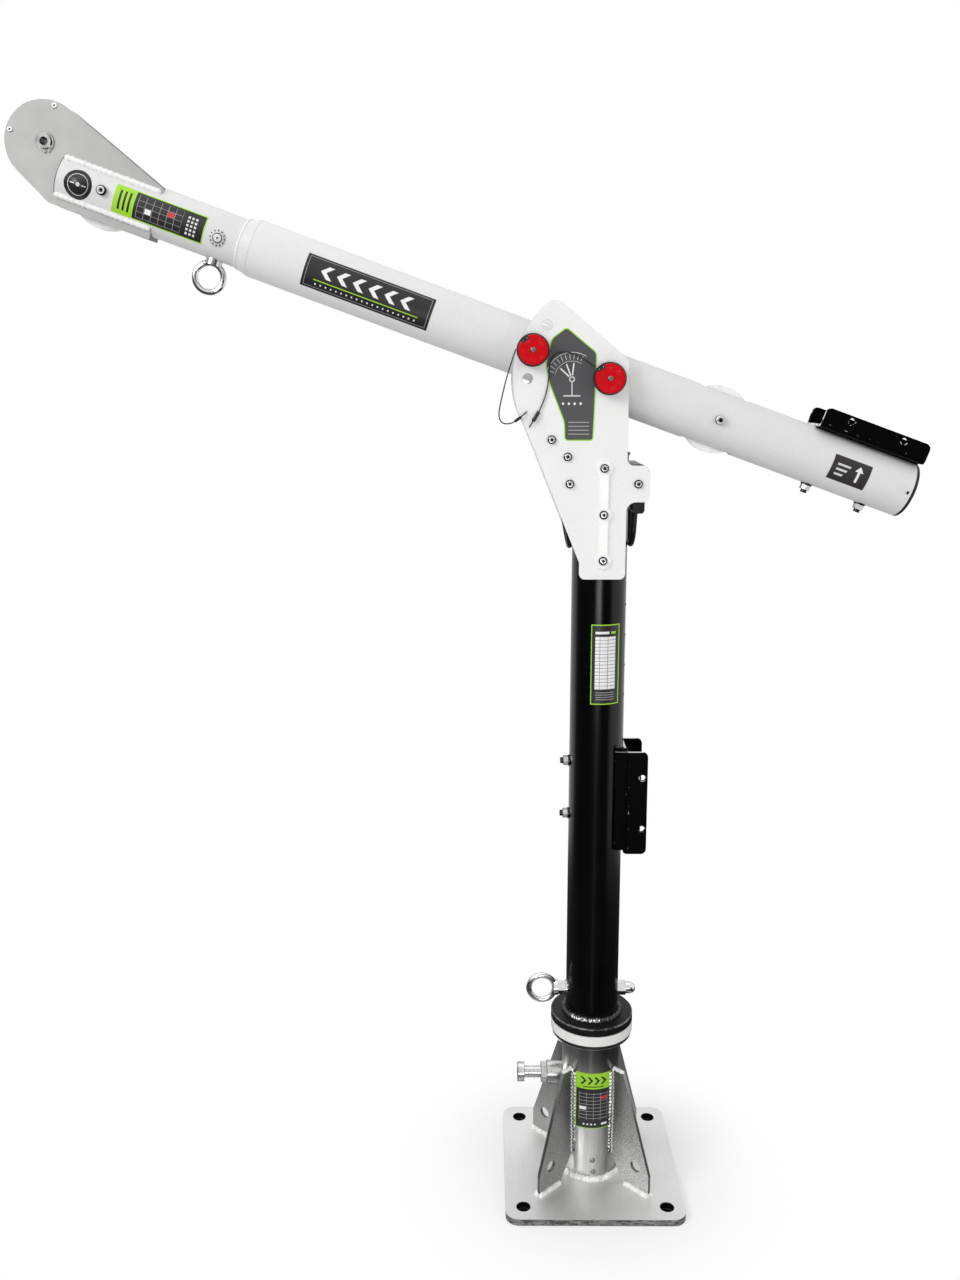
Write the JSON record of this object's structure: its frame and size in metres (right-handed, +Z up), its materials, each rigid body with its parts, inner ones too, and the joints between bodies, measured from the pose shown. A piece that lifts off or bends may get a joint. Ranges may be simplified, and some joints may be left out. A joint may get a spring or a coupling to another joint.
{
  "type": "davit arm",
  "caption": "Floor-mounted davit arm: gusseted steel sleeve, swivelling mast and a tilting boom with rope sheaves, lock pins and winch brackets for lifting.",
  "frame": {"origin": "middle of the base plate's underside, on the mast's axis", "axes": "+Z up along the mast, +X towards the boom's rear end, so the boom's tip points to -X, and +Y to the far side"},
  "size_m": [1.4192, 0.3, 1.7906],
  "materials": {
    "stainless": "brushed",
    "bearing_nylon": "satin",
    "sheave_nylon": "satin",
    "mast_black": "gloss powder coat",
    "cap_black": "satin",
    "boom_white": "textured powder coat",
    "tip_grey": "satin",
    "plated_steel": "bright",
    "knob_red": "satin",
    "wire_black": "satin"
  },
  "bodies": {
    "base": {"base_plate": "stainless", "sleeve_tube": "stainless", "sleeve_lip": "stainless", "gusset_front_left": "stainless", "gusset_front_right": "stainless", "gusset_rear_left": "stainless", "gusset_rear_right": "stainless", "bearing_ring": "bearing_nylon", "plunger_body": "stainless"},
    "plunger": {"plunger": "stainless"},
    "mast": {"mast_tube": "mast_black", "mast_cap": "cap_black", "mast_flange": "mast_black", "mast_eye_bolt": "plated_steel", "mast_winch_bracket": "mast_black", "mast_bracket_bolts": "plated_steel", "head_plate_near": "boom_white", "head_plate_far": "boom_white", "head_packers": "boom_white", "head_strips": "boom_white", "head_bolts": "plated_steel", "head_spacers": "boom_white", "tie_off_loop_left": "mast_black", "tie_off_loop_right": "mast_black", "pivot_pin": "plated_steel", "lock_pin": "plated_steel", "knob_rims": "cap_black", "pivot_knob": "knob_red", "lock_knob": "knob_red", "lock_lanyard": "wire_black", "pivot_lanyard": "wire_black"},
    "boom": {"boom_tube": "boom_white", "boom_front_tube": "boom_white", "boom_step_collar": "boom_white", "boom_bushes": "boom_white", "boom_end_cap": "cap_black", "boom_eye_bolt": "plated_steel", "boom_winch_bracket": "mast_black", "boom_bracket_bolts": "plated_steel", "tip_plate_near": "tip_grey", "tip_plate_far": "tip_grey", "tip_axle": "plated_steel", "tip_keepers": "plated_steel", "tip_sheave_bolt": "plated_steel", "rear_axle": "plated_steel"},
    "head_sheave": {"head_sheave": "sheave_nylon"},
    "tip_sheave": {"tip_sheave": "sheave_nylon"},
    "rear_sheave": {"rear_sheave": "sheave_nylon"}
  },
  "joints": [
    {"name": "mast_swivel", "type": "hinge", "parent": "base", "child": "mast", "pos_m": [0, 0, 0.3], "axis": [0, 0, 1], "continuous": true},
    {"name": "boom_tilt", "type": "hinge", "parent": "mast", "child": "boom", "pos_m": [0.005, 0, 1.377], "axis": [0, 1, 0], "range_deg": [-20, 20]},
    {"name": "plunger_pull", "type": "slide", "parent": "base", "child": "plunger", "axis": [-1, 0, 0], "range_m": [0, 0.012], "stiffness_N_per_m": 600, "springref_m": -0.015},
    {"name": "head_sheave_spin", "type": "hinge", "parent": "boom", "child": "head_sheave", "pos_m": [-0.84994, 0, 1.72968], "axis": [0, 1, 0], "continuous": true},
    {"name": "tip_sheave_spin", "type": "hinge", "parent": "boom", "child": "tip_sheave", "pos_m": [-0.76367, 0, 1.65677], "axis": [0, 1, 0], "continuous": true},
    {"name": "rear_sheave_spin", "type": "hinge", "parent": "boom", "child": "rear_sheave", "pos_m": [0.17884, 0, 1.31373], "axis": [0, 1, 0], "continuous": true}
  ]
}
